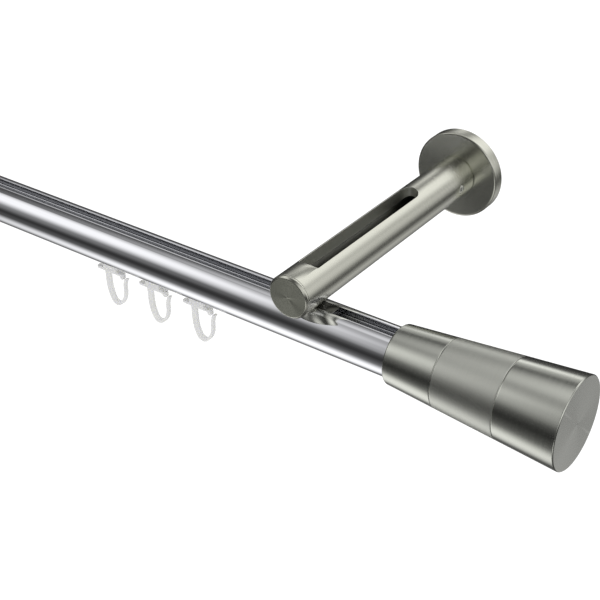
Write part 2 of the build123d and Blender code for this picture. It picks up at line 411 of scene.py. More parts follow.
def fine_lines_group():
    """Draw lines, turning marks and specks: noise stretched along the tool's path."""
    inputs = {"Vector": "Vector", "Stretch": "Vector", "Low": "Float", "High": "Float"}
    tree, given, value = new_tree("fine_lines", "Shader", inputs, "Value")
    place = vector_step(tree, "MULTIPLY", given["Vector"], given["Stretch"])
    grain = wired(tree, "ShaderNodeTexNoise", "Fac", {"Vector": place, "Scale": 1, "Detail": 4})
    spread = {"Value": grain, "From Min": grain_low, "From Max": grain_high}
    spread |= {"To Min": given["Low"], "To Max": given["High"]}
    tree.links.new(wired(tree, "ShaderNodeMapRange", "Result", spread), value)
    return tree


pointed_from = 0.52
pointed_full = 0.62


def edge_wear_and_glint_group():
    """One on outer edges, brightened partly as wear from handling and partly as a painted edge
    highlight, and nought on faces and in corners.
    """
    tree, given, mask = new_tree("edge_wear_and_glint", "Shader", {"Amount": "Float"}, "Mask")
    sharpness = wired(tree, "ShaderNodeNewGeometry", "Pointiness")
    limits = {"Value": sharpness, "From Min": pointed_from, "From Max": pointed_full}
    edge = wired(tree, "ShaderNodeMapRange", "Result", limits)
    tree.links.new(reckoned(tree, "MULTIPLY", edge, given["Amount"]), mask)
    return tree


fine_lines = fine_lines_group()
edge_wear_and_glint = edge_wear_and_glint_group()
edge_wear_glint_amount = 0.35
edge_wear_glint_brighter = 1.2
edge_wear_glint_smoother = 0.15
brightest_metal = 0.95
turned_spread_angle = 0.25
star_scale = 1.1


def marked_finish(name, colours, roughness, stretches, relief, marks="Object", wear_and_glint=False):
    """A material whose colour, gloss and relief each vary in fine marks of their own stretch, and
    whose edges may be brightened, partly as wear and partly as a painted edge highlight. Gives its
    shader, its marks' place and its relief as well."""
    finish = bpy.data.materials.new(name)
    finish.use_nodes = True
    tree = finish.node_tree
    shader = tree.nodes["Principled BSDF"]
    if marks == "Object":
        place = wired(tree, "ShaderNodeTexCoord", "Object")
    else:
        place = wired(tree, "ShaderNodeAttribute", "Vector", attribute_name=marks)
    values = []
    for stretch, (low, high) in zip(stretches, [(0, 1), roughness, (0, 1)]):
        limits = {"Vector": place, "Stretch": stretch, "Low": low, "High": high}
        values.append(wired(tree, "ShaderNodeGroup", "Value", limits, node_tree=fine_lines))
    share, gloss, height = values
    tint = {0: share, 6: (*colours[0], 1), 7: (*colours[1], 1)}
    colour = wired(tree, "ShaderNodeMix", 2, tint, data_type="RGBA")
    # Edges brightened and smoothed: partly wear, partly a painted edge highlight.
    if wear_and_glint:
        amount = {"Amount": edge_wear_glint_amount}
        edges = wired(tree, "ShaderNodeGroup", "Mask", amount, node_tree=edge_wear_and_glint)
        bright = [min(brightest_metal, level * edge_wear_glint_brighter) for level in colours[1]]
        tint = {0: edges, 6: colour, 7: (*bright, 1)}
        colour = wired(tree, "ShaderNodeMix", 2, tint, data_type="RGBA")
        gloss = reckoned(tree, "MULTIPLY_ADD", edges, -edge_wear_glint_smoother, gloss)
    bump = {"Strength": 1, "Distance": relief, "Height": height}
    raised = wired(tree, "ShaderNodeBump", "Normal", bump)
    tree.links.new(colour, shader.inputs["Base Color"])
    tree.links.new(gloss, shader.inputs["Roughness"])
    tree.links.new(raised, shader.inputs["Normal"])
    return finish, shader, place, raised


def metal(name, colours, roughness, stretch, relief, marks="Object", axis="Y", spread=0.0, star=0.0):
    """Bare metal with fine lines and edges brightened, partly as wear and partly as a painted
    highlight. A turned one spreads its gloss across the lines, and a faced one has faint rays from its
    middle, the star."""
    base = marked_finish(name, colours, roughness, [stretch] * 3, relief, marks, wear_and_glint=True)
    finish, shader, place, raised = base
    tree = finish.node_tree
    shader.inputs["Metallic"].default_value = 1
    if star:
        way_round = vector_step(tree, "NORMALIZE", vector_step(tree, "MULTIPLY", place, (1, 1, 0)))
        waves = {"Vector": way_round, "Scale": star_scale, "Detail": 0}
        height = wired(tree, "ShaderNodeTexNoise", "Fac", waves)
        rays = {"Strength": 1, "Distance": star, "Height": height}
        tree.links.new(wired(tree, "ShaderNodeBump", "Normal", rays), raised.node.inputs["Normal"])
    if spread:
        around = wired(tree, "ShaderNodeTangent", "Tangent", direction_type="RADIAL", axis=axis)
        tree.links.new(around, shader.inputs["Tangent"])
        shader.inputs["Anisotropic"].default_value = spread
        shader.inputs["Anisotropic Rotation"].default_value = turned_spread_angle
    return finish


def dressed(piece, node, body, degrees=25):
    """Shades a piece smooth, with sharp edges where its faces turn by more than the angle, and puts
    it on its body in the place of the plain solid."""
    mesh = piece.data
    mesh.polygons.foreach_set("use_smooth", [True] * len(mesh.polygons))
    mesh.set_sharp_from_angle(angle=radians(degrees))
    mesh.update()
    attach(piece, body)
    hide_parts(node)


polished_aluminium = metal(
    "polished_aluminium",
    colours=[(0.84, 0.845, 0.885), (0.88, 0.885, 0.925)],
    roughness=(0.05, 0.09),
    stretch=(30, 3500, 3500),
    relief=0.1e-6,
)
drawn_aluminium = metal(
    "drawn_aluminium",
    colours=[(0.64, 0.645, 0.67), (0.72, 0.725, 0.75)],
    roughness=(0.14, 0.22),
    stretch=(20, 1600, 1600),
    relief=0.3e-6,
)
# Dark aluminium for the groove's floor and ribs: painted shade deep in the groove.
groove_floor_painted_shade = metal(
    "groove_floor_painted_shade",
    colours=[(0.27, 0.275, 0.29), (0.34, 0.345, 0.36)],
    roughness=(0.24, 0.34),
    stretch=(20, 1600, 1600),
    relief=0.5e-6,
)
half_outline = half_rail_outline()
rail_outline = rounded_outline(half_outline + [(-y, z) for y, z in reversed(half_outline)], rail_edge)
rail = extruded(
    "rail_extrusion", rail_outline, rail_low.x, rail_high.x, rail_axis, polished_aluminium
)
rail.data.materials.append(drawn_aluminium)
rail.data.materials.append(groove_floor_painted_shade)
# The groove's floor and ribs, but for the lighter part of its coves, are painted dark as shade; the
# other inner faces get the drawn finish.
flat_floor_side = groove_width / 2 - lighter_cove_share * groove_cove
for face in rail.data.polygons:
    out = face.center - rail_axis
    on_skin = sqrt(out.y**2 + out.z**2) > rail_radius - 2 * rail_edge
    in_groove = 0 < out.z < groove_floor + 2 * rib_height and abs(out.y) < flat_floor_side
    if not on_skin and out.z < land_height - rail_edge:
        face.material_index = 2 if in_groove else 1
dressed(rail, "rail", "rod", degrees=20)


# Rosettes: solid turned discs against the wall in satin nickel, with a softly bevelled rim and a
# hole through the middle for the wall screw, which the arm hides.
sides = {"right": 1, "left": -1}
rosette_radius = 19.5 * mm
rosette_length = 5.6 * mm
rosette_edge = 1.2 * mm
rosette_edge_depth = 0.7 * mm
wall_screw_hole = 2.6 * mm
turned_corner = 0.18 * mm
tool_lead = 0.6
flat_enough = 0.999


def note_turning(piece, start, along):
    """Notes at each point the way round the turning line and how far the tool had travelled."""
    up = Vector((0, 0, 1))
    aside = along.cross(up)
    marks = []
    for vertex in piece.data.vertices:
        reach = vertex.co - start
        spoke = reach - along * reach.dot(along)
        way = spoke.normalized()
        marks += [way.dot(aside), way.dot(up), reach.dot(along) + tool_lead * spoke.length]
    stored = piece.data.attributes.get("turning")
    if stored:
        piece.data.attributes.remove(stored)
    stored = piece.data.attributes.new("turning", "FLOAT_VECTOR", "POINT")
    stored.data.foreach_set("vector", marks)


def turned_piece(name, outline, start, along, finish=None, corner=0.0, hollow=False, around=192):
    """Turns an outline of places and radii round a line, its corners rounded a little, and notes
    where the tool's marks run."""
    if corner:
        outline = rounded_outline(outline, corner, closed=hollow)
    up = Vector((0, 0, 1))
    aside = along.cross(up)
    points = []
    rings = []
    faces = []
    for place, radius in outline:
        count = around if radius > weld_distance else 1
        rings.append([len(points) + k for k in range(count)])
        for k in range(count):
            angle = 2 * pi * k / around
            spoke = aside * cos(angle) + up * sin(angle)
            points.append(start + along * place + spoke * radius)
    pairs = list(zip(rings, rings[1:]))
    if hollow:
        pairs.append((rings[-1], rings[0]))
    for one, two in pairs:
        for k in range(around):
            n = (k + 1) % around
            face = [one[k % len(one)], one[n % len(one)], two[n % len(two)], two[k % len(two)]]
            faces.append(list(dict.fromkeys(face)))
    mesh = bpy.data.meshes.new(name)
    mesh.from_pydata(points, [], [face for face in faces if len(face) > 2])
    if finish:
        mesh.materials.append(finish)
    piece = placed(name, mesh)
    turned_outwards(piece)
    note_turning(piece, start, along)
    return piece


def finish_faces(piece, along, finish):
    """Gives a turned piece's flat end faces a finish of their own."""
    piece.data.materials.append(finish)
    for face in piece.data.polygons:
        if abs(face.normal.dot(along)) > flat_enough:
            face.material_index = len(piece.data.materials) - 1


satin_arm = metal(
    "satin_nickel_bracket",
    colours=[(0.61, 0.61, 0.54), (0.66, 0.66, 0.58)],
    roughness=(0.22, 0.28),
    stretch=(2.5, 2.5, 4500),
    relief=0.15e-6,
    marks="turning",
    spread=0.5,
)
faced = {"stretch": (1.2, 1.2, 1500), "relief": 0.02e-6, "marks": "turning", "spread": 0.5}
# The rosette's flat faces: a darker copy of the satin nickel, painted shade, with the marks of a faced
# disc.
disc_face_painted_shade = metal(
    "satin_nickel_disc_painted_shade",
    colours=[(0.54, 0.545, 0.48), (0.56, 0.565, 0.50)],
    roughness=(0.25, 0.27),
    **faced,
)
to_room = Vector((0, -1, 0))
on_wall = {side: Vector((sign * arm_axis_x, 0, 0)) for side, sign in sides.items()}
edge_start = (rosette_length - rosette_edge_depth, rosette_radius)
edge_end = (rosette_length, rosette_radius - rosette_edge)
rosette_outline = [
    (0, wall_screw_hole),
    (0, rosette_radius),
    *bend(edge_start, (rosette_length, rosette_radius), edge_end),
    (rosette_length, wall_screw_hole),
]
for side, start in on_wall.items():
    rosette = turned_piece(
        f"rosette_disc_{side}", rosette_outline, start, to_room, satin_arm, turned_corner, hollow=True
    )
    finish_faces(rosette, to_room, disc_face_painted_shade)
    dressed(rosette, f"rosette_{side}", "wall_brackets")


# Wall spigots: short zinc-plated sleeves standing on the rosettes. The wall screw through the
# middle holds spigot and rosette together, and the arm is pushed over the spigot.
spigot_radius = 4.95 * mm
spigot_end = rosette_length + 23.4 * mm
spigot_corner = 0.4 * mm

# Zinc plate whose colour is painted far darker than zinc, as the shade under the arms where the nuts
# show.
dark_zinc_painted_shade = metal(
    "dark_zinc_painted_shade",
    colours=[(0.09, 0.09, 0.087), (0.14, 0.14, 0.136)],
    roughness=(0.12, 0.20),
    stretch=(600, 600, 600),
    relief=1e-6,
)
spigot_outline = [
    (rosette_length, wall_screw_hole),
    (rosette_length, spigot_radius),
    (spigot_end, spigot_radius),
    (spigot_end, wall_screw_hole),
]
for side, start in on_wall.items():
    name = f"spigot_sleeve_{side}"
    spigot = turned_piece(name, spigot_outline, start, to_room, dark_zinc_painted_shade, spigot_corner, True, 96)
    dressed(spigot, f"wall_spigot_{side}", "wall_brackets")


# Bracket arms: thick turned tube in satin nickel, its bore painted far darker than its skin as the
# shade inside it. A wide slot is milled down from the top to a flat floor for the clamp screw's
# head, its front end with a short run-out and a leaning wall, and a narrow slot for the screw's
# shank goes on through the bottom.
arm_bore = 5.0 * mm
arm_length = 121.6 * mm
cap_face = 1.6 * mm
slot_width = 8.8 * mm
slot_front_inset = 14.0 * mm
slot_rear_inset = 39.6 * mm
slot_floor = -4.0 * mm
slot_upright = 2.0 * mm
slot_run_out = 0.5 * mm
slot_front_bulge = 0.27
slot_end_steps = 48
lower_slot_width = 5.4 * mm
lower_slot_top = slot_floor + 0.5 * mm
rim_break = 0.1 * mm
rear_break = 0.5 * mm
ramp_tilt = 0.85
grub_place = rosette_length + 10.2 * mm
grub_radius = 2.0 * mm
arm_seam = rosette_length + arm_length - cap_face
slot_front = rosette_length + arm_length - slot_front_inset
slot_rear = rosette_length + slot_rear_inset


def ring_solid(name, rings):
    """A closed solid from rings with the same number of points, one above the other."""
    count = len(rings[0])
    faces = [list(range(count)), [len(rings) * count - 1 - k for k in range(count)]]
    for r in range(len(rings) - 1):
        for k in range(count):
            n = (k + 1) % count
            faces.append([r * count + k, r * count + n, (r + 1) * count + n, (r + 1) * count + k])
    mesh = bpy.data.meshes.new(name)
    mesh.from_pydata([point for ring in rings for point in ring], [], faces)
    piece = placed(name, mesh)
    turned_outwards(piece)
    return piece


def slot_ring(arm_x, half_width, height, front_bulge=1.0, run_out=0.0):
    """Points round a long hole with round ends; height gives how high each point is, and the front
    end can be flatter and lie deeper."""
    ring = []
    ends = [(slot_front, 0, front_bulge, run_out), (slot_rear, pi, 1.0, 0)]
    for end_place, turn, bulge, deeper in ends:
        for k in range(slot_end_steps + 1):
            angle = turn + pi * k / slot_end_steps
            x = half_width * cos(angle)
            y = -(end_place + bulge * half_width * sin(angle))
            ring.append(Vector((arm_x + x, y, height(x) - deeper * sin(angle))))
    return ring


def top_slot_cutter(arm_x):
    """The wide slot's cutter: it flares at the arm's skin. At the front it runs out in a ramp, and
    the wall under the ramp leans over the screw's head."""
    half = slot_width / 2
    flared = half + 2 * rim_break

    def skin(x):
        return sqrt(arm_radius**2 - min(abs(x), arm_radius) ** 2)

    rings = [
        slot_ring(arm_x, half, lambda x: slot_floor),
        slot_ring(arm_x, half, lambda x: slot_upright),
        slot_ring(arm_x, half, lambda x: skin(x) - rim_break, slot_front_bulge, slot_run_out),
        slot_ring(arm_x, flared, lambda x: skin(x) + rim_break),
        slot_ring(arm_x, flared, lambda x: 2 * arm_radius),
    ]
    return ring_solid("top_slot", rings)


def lower_slot_cutter(arm_x):
    """The narrow slot's cutter, through the arm's bottom up into the wide slot."""
    rings = [slot_ring(arm_x, lower_slot_width / 2, lambda x: -2 * arm_radius)]
    rings.append(slot_ring(arm_x, lower_slot_width / 2, lambda x: lower_slot_top))
    return ring_solid("lower_slot", rings)


def drill(name, radius, start, along, length, around=96):
    """A plain round bar, used as a cutter."""
    outline = [(0, 0), (0, radius), (length, radius), (length, 0)]
    return turned_piece(name, outline, start, along, around=around)


def milled(name, piece, cutters, finish):
    """Cuts the cutters out of a piece, whose new walls get the finish, and keeps the plain result."""
    piece.data.materials.append(finish)
    for i, cutter in enumerate(cutters):
        cutter.data.materials.append(finish)
        cut = piece.modifiers.new(f"cut_{i}", "BOOLEAN")
        cut.operation = "DIFFERENCE"
        cut.solver = "EXACT"
        cut.material_mode = "TRANSFER"
        cut.object = cutter
    result = plain_result(name, piece)
    for cutter in cutters:
        bpy.data.objects.remove(cutter)
    return result


cut_marks = {"stretch": (1500, 1500, 1500), "relief": 1e-6}
milled_nickel = metal(
    "milled_nickel",
    colours=[(0.58, 0.585, 0.53), (0.64, 0.645, 0.585)],
    roughness=(0.42, 0.52),
    **cut_marks,
)
# The bore's nickel is painted far darker than the skin, as the shade inside the arm.
bore_painted_shade = metal(
    "bore_painted_shade",
    colours=[(0.22, 0.22, 0.20), (0.27, 0.27, 0.25)],
    roughness=(0.40, 0.50),
    **cut_marks,
)
arm_outline = [
    (rosette_length, arm_bore),
    (rosette_length, arm_radius - rear_break),
    (rosette_length + rear_break, arm_radius),
    (arm_seam, arm_radius),
    (arm_seam, arm_bore),
]
for side, sign in sides.items():
    start = on_wall[side]
    arm_x = sign * arm_axis_x
    name = f"arm_blank_{side}"
    tube = turned_piece(name, arm_outline, start, to_room, satin_arm, turned_corner, True, 256)
    outwards = Vector((sign, 0, 0))
    grub_hole = drill("grub_drill", grub_radius, start + to_room * grub_place, outwards, 2 * arm_radius)
    cutters = [top_slot_cutter(arm_x), lower_slot_cutter(arm_x), grub_hole]
    arm = milled(f"arm_tube_{side}", tube, cutters, milled_nickel)
    arm.data.materials.append(bore_painted_shade)
    # Faces of the bore get the darker nickel, painted shade; the ramp's top keeps the skin's finish.
    for face in arm.data.polygons:
        if sqrt((face.center.x - arm_x) ** 2 + face.center.z**2) < arm_bore + turned_corner / 2:
            face.material_index = 2
        elif face.normal.z > ramp_tilt and face.center.z > arm_bore:
            face.material_index = 0
    note_turning(arm, start, to_room)
    dressed(arm, f"bracket_arm_{side}", "wall_brackets", degrees=28)


# Front caps: turned plugs in satin nickel, pressed into the arms' front ends, their rims
# bevelled. A fine joint shows where the cap meets the tube.
cap_edge = 0.8 * mm
cap_plug_radius = 4.95 * mm
cap_plug_length = 5.0 * mm

cap_outline = [
    (arm_seam - cap_plug_length, 0),
    (arm_seam - cap_plug_length, cap_plug_radius),
    (arm_seam, cap_plug_radius),
    (arm_seam, arm_radius),
    (arm_seam + cap_face - cap_edge, arm_radius),
    (arm_seam + cap_face, arm_radius - cap_edge),
    (arm_seam + cap_face, 0),
]
# The cap's flat faces: a darker copy of the satin nickel, painted shade, with the faced marks and the
# star.
cap_face_painted_shade = metal(
    "satin_nickel_cap_painted_shade",
    colours=[(0.55, 0.56, 0.47), (0.58, 0.59, 0.50)],
    roughness=(0.25, 0.27),
    star=1e-4,
    **faced,
)
for side, start in on_wall.items():
    cap = turned_piece(f"arm_cap_{side}", cap_outline, start, to_room, satin_arm, turned_corner)
    finish_faces(cap, to_room, cap_face_painted_shade)
    dressed(cap, f"arm_front_cap_{side}", "wall_brackets")


# Arm grub screws: zinc-plated headless screws with a six-sided key hole, one in the outer side of
# each arm just in front of the rosette, tight on the spigot.
grub_tip = 5.0 * mm
grub_end = 8.7 * mm
grub_point = 0.6 * grub_radius
grub_point_height = 0.5 * mm
grub_chamfer = 0.3 * mm
grub_key_width = 2.0 * mm
grub_key_depth = 1.3 * mm
grub_pitch = 0.7 * mm
key_cone_depth = 0.25
key_cone_tip = 0.05
key_cone_base = 0.8
key_clear = 0.5 * mm
# One turn of the thread as places along the screw and depths below its radius.
grub_turn = [(0.1 * mm, 0), (0.35 * mm, 0.18 * mm), (0.6 * mm, 0)]

# Bright steel whose colour is lifted above plain steel, partly its finish and partly a painted glint
# round the key holes.
screw_steel = metal(
    "screw_steel",
    colours=[(0.78, 0.78, 0.77), (0.88, 0.88, 0.87)],
    roughness=(0.10, 0.18),
    stretch=(1400, 1400, 1400),
    relief=2e-6,
)


def key_cutter(middle, along, width, depth):
    """Six-sided key hole with a drilled cone at its bottom, from a face into a screw."""
    aside = Vector((0, 0, 1)) if abs(along.z) < 0.5 else Vector((1, 0, 0))
    across = along.cross(aside)
    reach = width / 2 / cos(pi / 6)
    spokes = [aside * cos(pi * k / 3) + across * sin(pi * k / 3) for k in range(6)]
    cone = [(-depth - key_cone_depth * width, key_cone_tip), (-depth, key_cone_base)]
    rings = []
    for place, size in cone + [(-depth, 1), (key_clear, 1)]:
        rings.append([middle + along * place + spoke * reach * size for spoke in spokes])
    return ring_solid("key_hole", rings)


def thread(first, turns, pitch, radius, turn):
    """Outline of a thread's turns along a screw, each with the same places and depths."""
    starts = [first + k * pitch for k in range(turns)]
    return [(start + place, radius - depth) for start in starts for place, depth in turn]


def headless_screw(name, seat, along, tip, end):
    """Grub screw along a line from its seat, with a thread, a dog point and a key hole."""
    turns = int((end - tip - 2 * grub_pitch) / grub_pitch)
    outline = [
        (tip, 0),
        (tip, grub_point),
        (tip + grub_point_height, grub_radius),
        *thread(tip + grub_pitch, turns, grub_pitch, grub_radius, grub_turn),
        (end - grub_chamfer, grub_radius),
        (end, grub_radius - grub_chamfer),
        (end, 0),
    ]
    blank = turned_piece(name + "_blank", outline, seat, along, screw_steel, around=72)
    key = key_cutter(seat + along * end, along, grub_key_width, grub_key_depth)
    return milled(name, blank, [key], screw_steel)


for side, sign in sides.items():
    seat = on_wall[side] + to_room * grub_place
    screw = headless_screw(f"arm_screw_{side}", seat, Vector((sign, 0, 0)), grub_tip, grub_end)
    dressed(screw, f"arm_grub_screw_{side}", "wall_brackets", degrees=35)


# Slot nuts: zinc-plated steel bars in the rail's groove, a wide foot under the lips and a collar
# between them, tapped in the middle for the clamp screw. Their ends stand out beside the arm, their
# colour painted dark as the shade under it.
clamp_gap = 0.05 * mm
nut_length = 23.0 * mm
nut_width = 8.0 * mm
nut_thickness = 2.4 * mm
nut_edge = 0.18 * mm
nut_hole = 2.55 * mm
collar_width = 5.2 * mm
collar_top = land_height - 0.1 * mm
foot_top = groove_roof - clamp_gap
foot_bottom = foot_top - nut_thickness

upwards = Vector((0, 0, 1))
nut_half = [
    (nut_width / 2, foot_bottom),
    (nut_width / 2, foot_top),
    (collar_width / 2, foot_top),
    (collar_width / 2, collar_top),
]
nut_outline = nut_half + [(-y, z) for y, z in reversed(nut_half)]
for side, sign in sides.items():
    nut_x = sign * arm_axis_x
    start_x = nut_x - nut_length / 2
    end_x = nut_x + nut_length / 2
    blank = extruded(f"nut_blank_{side}", nut_outline, start_x, end_x, rail_axis, dark_zinc_painted_shade)
    edge = blank.modifiers.new("edge", "BEVEL")
    edge.width = nut_edge
    edge.segments = 2
    edge.limit_method = "ANGLE"
    middle = Vector((nut_x, rail_axis.y, rail_axis.z))
    hole = drill("nut_drill", nut_hole, middle, upwards, arm_radius, around=64)
    nut = milled(f"nut_bar_{side}", blank, [hole], dark_zinc_painted_shade)
    dressed(nut, f"slot_nut_{side}", "clamps", degrees=35)


# Clamp screws: M5 cap screws in bright steel. The knurled head stands on the floor of the arm's
# slot, and the threaded shank goes down through the narrow slot into the nut.
head_radius = 4.25 * mm
head_height = 5.0 * mm
head_chamfer = 0.5 * mm
crown_height = 0.1 * mm
crown_inset = 0.8 * mm
head_key_width = 4.0 * mm
head_key_depth = 2.5 * mm
shank_radius = 2.5 * mm
shank_length = 8.0 * mm
shank_pitch = 0.8 * mm
shank_point = 0.5 * mm
shank_neck = 0.9 * mm
shank_turn = [(0, 0), (0.4 * mm, 0.4 * mm)]
knurl_count = 60
knurl_depth = 0.12 * mm
knurl_bottom = 0.3 * mm
knurl_top = head_height - 0.6 * mm
knurl_radius = head_radius - knurl_depth
head_seat = land_height + clamp_gap + arm_radius + slot_floor + clamp_gap

clamp_steel = metal(
    "clamp_steel",
    colours=[(0.34, 0.34, 0.33), (0.48, 0.48, 0.46)],
    roughness=(0.22, 0.36),
    stretch=(1100, 1100, 1100),
    relief=2e-6,
)


def knurl_tree():
    """Sets fine upright ribs round a screw's head and joins them with it."""
    inputs = {"Head": "Geometry", "Radius": "Float", "Low": "Float", "Rib Height": "Float"}
    inputs |= {"Rib Depth": "Float", "Count": "Int", "Middle": "Vector", "Finish": "Material"}
    tree, given, screw = new_tree("knurled_head", "Geometry", inputs, "Screw")
    ring = {"Vertices": given["Count"], "Radius": given["Radius"]}
    circle = wired(tree, "GeometryNodeMeshCircle", "Mesh", ring)
    bar = {"Vertices": 4, "Depth": given["Rib Height"]}
    bar |= {"Radius Top": given["Rib Depth"], "Radius Bottom": given["Rib Depth"]}
    rib = wired(tree, "GeometryNodeMeshCone", "Mesh", bar)
    place = wired(tree, "GeometryNodeInputPosition", "Position")
    outward = wired(tree, "FunctionNodeAlignRotationToVector", "Rotation", {"Vector": place}, axis="X")
    spots = {"Points": circle, "Instance": rib, "Rotation": outward}
    ribs = wired(tree, "GeometryNodeInstanceOnPoints", "Instances", spots)
    low = wired(tree, "ShaderNodeCombineXYZ", "Vector", {"Z": given["Low"]})
    middle = vector_step(tree, "ADD", given["Middle"], low)
    lifted = {"Geometry": ribs, "Translation": middle}
    knurl = wired(tree, "GeometryNodeTransform", "Geometry", lifted)
    finish_tree(tree, joined(tree, given["Head"], knurl), given["Finish"], screw)
    return tree


shank_turns = int((shank_length - shank_point - shank_neck) / shank_pitch)
screw_outline = [
    (-shank_length, 0),
    (-shank_length, shank_radius - shank_point),
    *thread(shank_point - shank_length, shank_turns, shank_pitch, shank_radius, shank_turn),
    (-shank_neck, shank_radius),
    (0, shank_radius),
    (0, head_radius - head_chamfer),
    (knurl_bottom, knurl_radius),
    (knurl_top, knurl_radius),
    (head_height - crown_height, head_radius - head_chamfer),
    (head_height, head_radius - crown_inset),
    (head_height, 0),
]
knurled = knurl_tree()
for side, sign in sides.items():
    seat = Vector((sign * arm_axis_x, rail_axis.y, rail_axis.z + head_seat))
    blank = turned_piece(f"clamp_blank_{side}", screw_outline, seat, upwards, clamp_steel, around=120)
    key = key_cutter(seat + upwards * head_height, upwards, head_key_width, head_key_depth)
    plain_screw = milled(f"clamp_plain_{side}", blank, [key], clamp_steel)
    sizes = {"Radius": knurl_radius, "Low": knurl_bottom, "Rib Height": knurl_top - knurl_bottom}
    sizes |= {"Rib Depth": knurl_depth, "Count": knurl_count, "Middle": seat, "Finish": clamp_steel}
    screw = run_tree(f"cap_screw_{side}", plain_screw.data, knurled, sizes)
    bpy.data.objects.remove(plain_screw)
    dressed(screw, f"clamp_screw_{side}", "clamps", degrees=35)


# Finials: cones in three turned sections of satin nickel. The sleeve and the tip are polished
# brighter than the middle; the tip and its stud are one piece, and the sleeve goes over the rail.
finial_bore = rail_radius + 0.05 * mm
finial_start_wall = 1.95 * mm
finial_flare = 5.85 * mm
finial_bore_depth = 16.0 * mm
sleeve_end = 21.4 * mm
middle_end = 47.4 * mm
finial_end = 72.0 * mm
finial_start_edge = 0.65 * mm
finial_end_edge = 0.35 * mm
finial_corner = 0.32 * mm
stud_radius = 3.0 * mm
stud_start = finial_bore_depth + 0.05 * mm
stud_hole = 3.1 * mm
finial_grub_place = 8.0 * mm


def cone_radius(place):
    """The finial's radius at a place along it."""
    return finial_bore + finial_start_wall + finial_flare * place / finial_end


nickel_colours = [(0.61, 0.62, 0.565), (0.65, 0.66, 0.6)]
middle_colours = [(0.68, 0.69, 0.63), (0.72, 0.73, 0.67)]
# The tip's flat end face: a darker copy of the nickel, painted shade.
end_face_shaded_colours = [(0.47, 0.475, 0.435), (0.50, 0.505, 0.465)]
lathe = {"stretch": (2.5, 2.5, 4500), "relief": 0.12e-6, "marks": "turning", "axis": "X"}
satin_sleeve = metal("satin_nickel_sleeve", nickel_colours, (0.17, 0.24), spread=0.4, **lathe)
satin_middle = metal("satin_nickel_middle", middle_colours, (0.35, 0.41), **lathe)
end_face_painted_shade = metal("satin_nickel_end_painted_shade", end_face_shaded_colours, (0.24, 0.28), spread=0.5, star=1e-4, **lathe)
satin_tip = metal("satin_nickel_tip", nickel_colours, (0.15, 0.22), spread=0.4, **lathe)
sleeve_outline = [
    (0, finial_bore),
    (0, cone_radius(0) - finial_start_edge),
    (finial_start_edge, cone_radius(finial_start_edge)),
    (sleeve_end, cone_radius(sleeve_end)),
    (sleeve_end, stud_hole),
    (finial_bore_depth, stud_hole),
    (finial_bore_depth, finial_bore),
]
middle_outline = [
    (sleeve_end, stud_hole),
    (sleeve_end, cone_radius(sleeve_end)),
    (middle_end, cone_radius(middle_end)),
    (middle_end, stud_hole),
]
tip_outline = [
    (stud_start, 0),
    (stud_start, stud_radius),
    (middle_end, stud_radius),
    (middle_end, cone_radius(middle_end)),
    (finial_end - finial_end_edge, cone_radius(finial_end - finial_end_edge)),
    (finial_end, cone_radius(finial_end) - finial_end_edge),
    (finial_end, 0),
]
backwards = Vector((0, 1, 0))
for side, sign in sides.items():
    outward = Vector((sign, 0, 0))
    start = Vector((sign * (rail_high.x - finial_bore_depth), rail_axis.y, rail_axis.z))
    for section, outline, finish, hollow in [
        ("sleeve", sleeve_outline, satin_sleeve, True),
        ("middle", middle_outline, satin_middle, True),
        ("tip", tip_outline, satin_tip, False),
    ]:
        name = f"{section}_cone_{side}"
        cone = turned_piece(name, outline, start, outward, finish, finial_corner, hollow, 256)
        if section == "sleeve":
            hole_start = start + outward * finial_grub_place
            hole = drill("finial_drill", grub_radius, hole_start, backwards, 2 * finial_bore)
            cone = milled(name, cone, [hole], finish)
            note_turning(cone, start, outward)
        if section == "tip":
            finish_faces(cone, outward, end_face_painted_shade)
        dressed(cone, f"finial_{section}_{side}", "rod")


# Finial grub screws: the same headless screws as in the arms, in the back of each sleeve, tight
# on the rail where nobody sees them.
finial_grub_end = cone_radius(finial_grub_place) - 0.3 * mm
for side, sign in sides.items():
    seat_x = sign * (rail_high.x - finial_bore_depth + finial_grub_place)
    seat = Vector((seat_x, rail_axis.y, rail_axis.z))
    screw = headless_screw(f"finial_screw_{side}", seat, backwards, rail_radius, finial_grub_end)
    dressed(screw, f"finial_grub_screw_{side}", "rod", degrees=35)


# Gliders: white hooks moulded in one piece, with a flat head that runs in the track, a neck
# through its slot, a short bar and an open hook whose thin leg springs back for the curtain's loop.
head_length = 9.0 * mm
head_width = 7.8 * mm
head_base = track_ledge + 0.1 * mm
head_thickness = 1.8 * mm
head_corner = 1.2 * mm
neck_length = 8.0 * mm
neck_width = 2.6 * mm
neck_corner = 0.3 * mm
bar_top = -14.2 * mm
bar_bottom = -15.5 * mm
bar_length = 15.6 * mm
bar_width = 2.6 * mm
bar_corner = 0.6 * mm
hook_depth = 1.8 * mm
hook_low = bar_bottom - 16.5 * mm
nub_length = 2.2 * mm
nub_height = 1.6 * mm
overlap = 0.5 * mm
glider_pitch = 25.0 * mm
nearest_glider = arm_axis_x - 59.3 * mm
melt_size = 0.16 * mm
bend_steps = 10
# The hook's outer and inner lines in mm, beside the glider's middle and above the hook's bottom.
hook_outer = [(-3.2, 16.5), (-3.2, 10.4), (-1.1, 1.9), (3.9, 0.7), (8.3, 8.5), (8.4, 11.1), (10.1, 16.2)]
hook_inner = [(-0.7, 16.5), (-0.7, 10.9), (1.0, 3.3), (4.3, 2.7), (7.1, 9.1), (7.2, 11.6), (8.4, 15.8)]


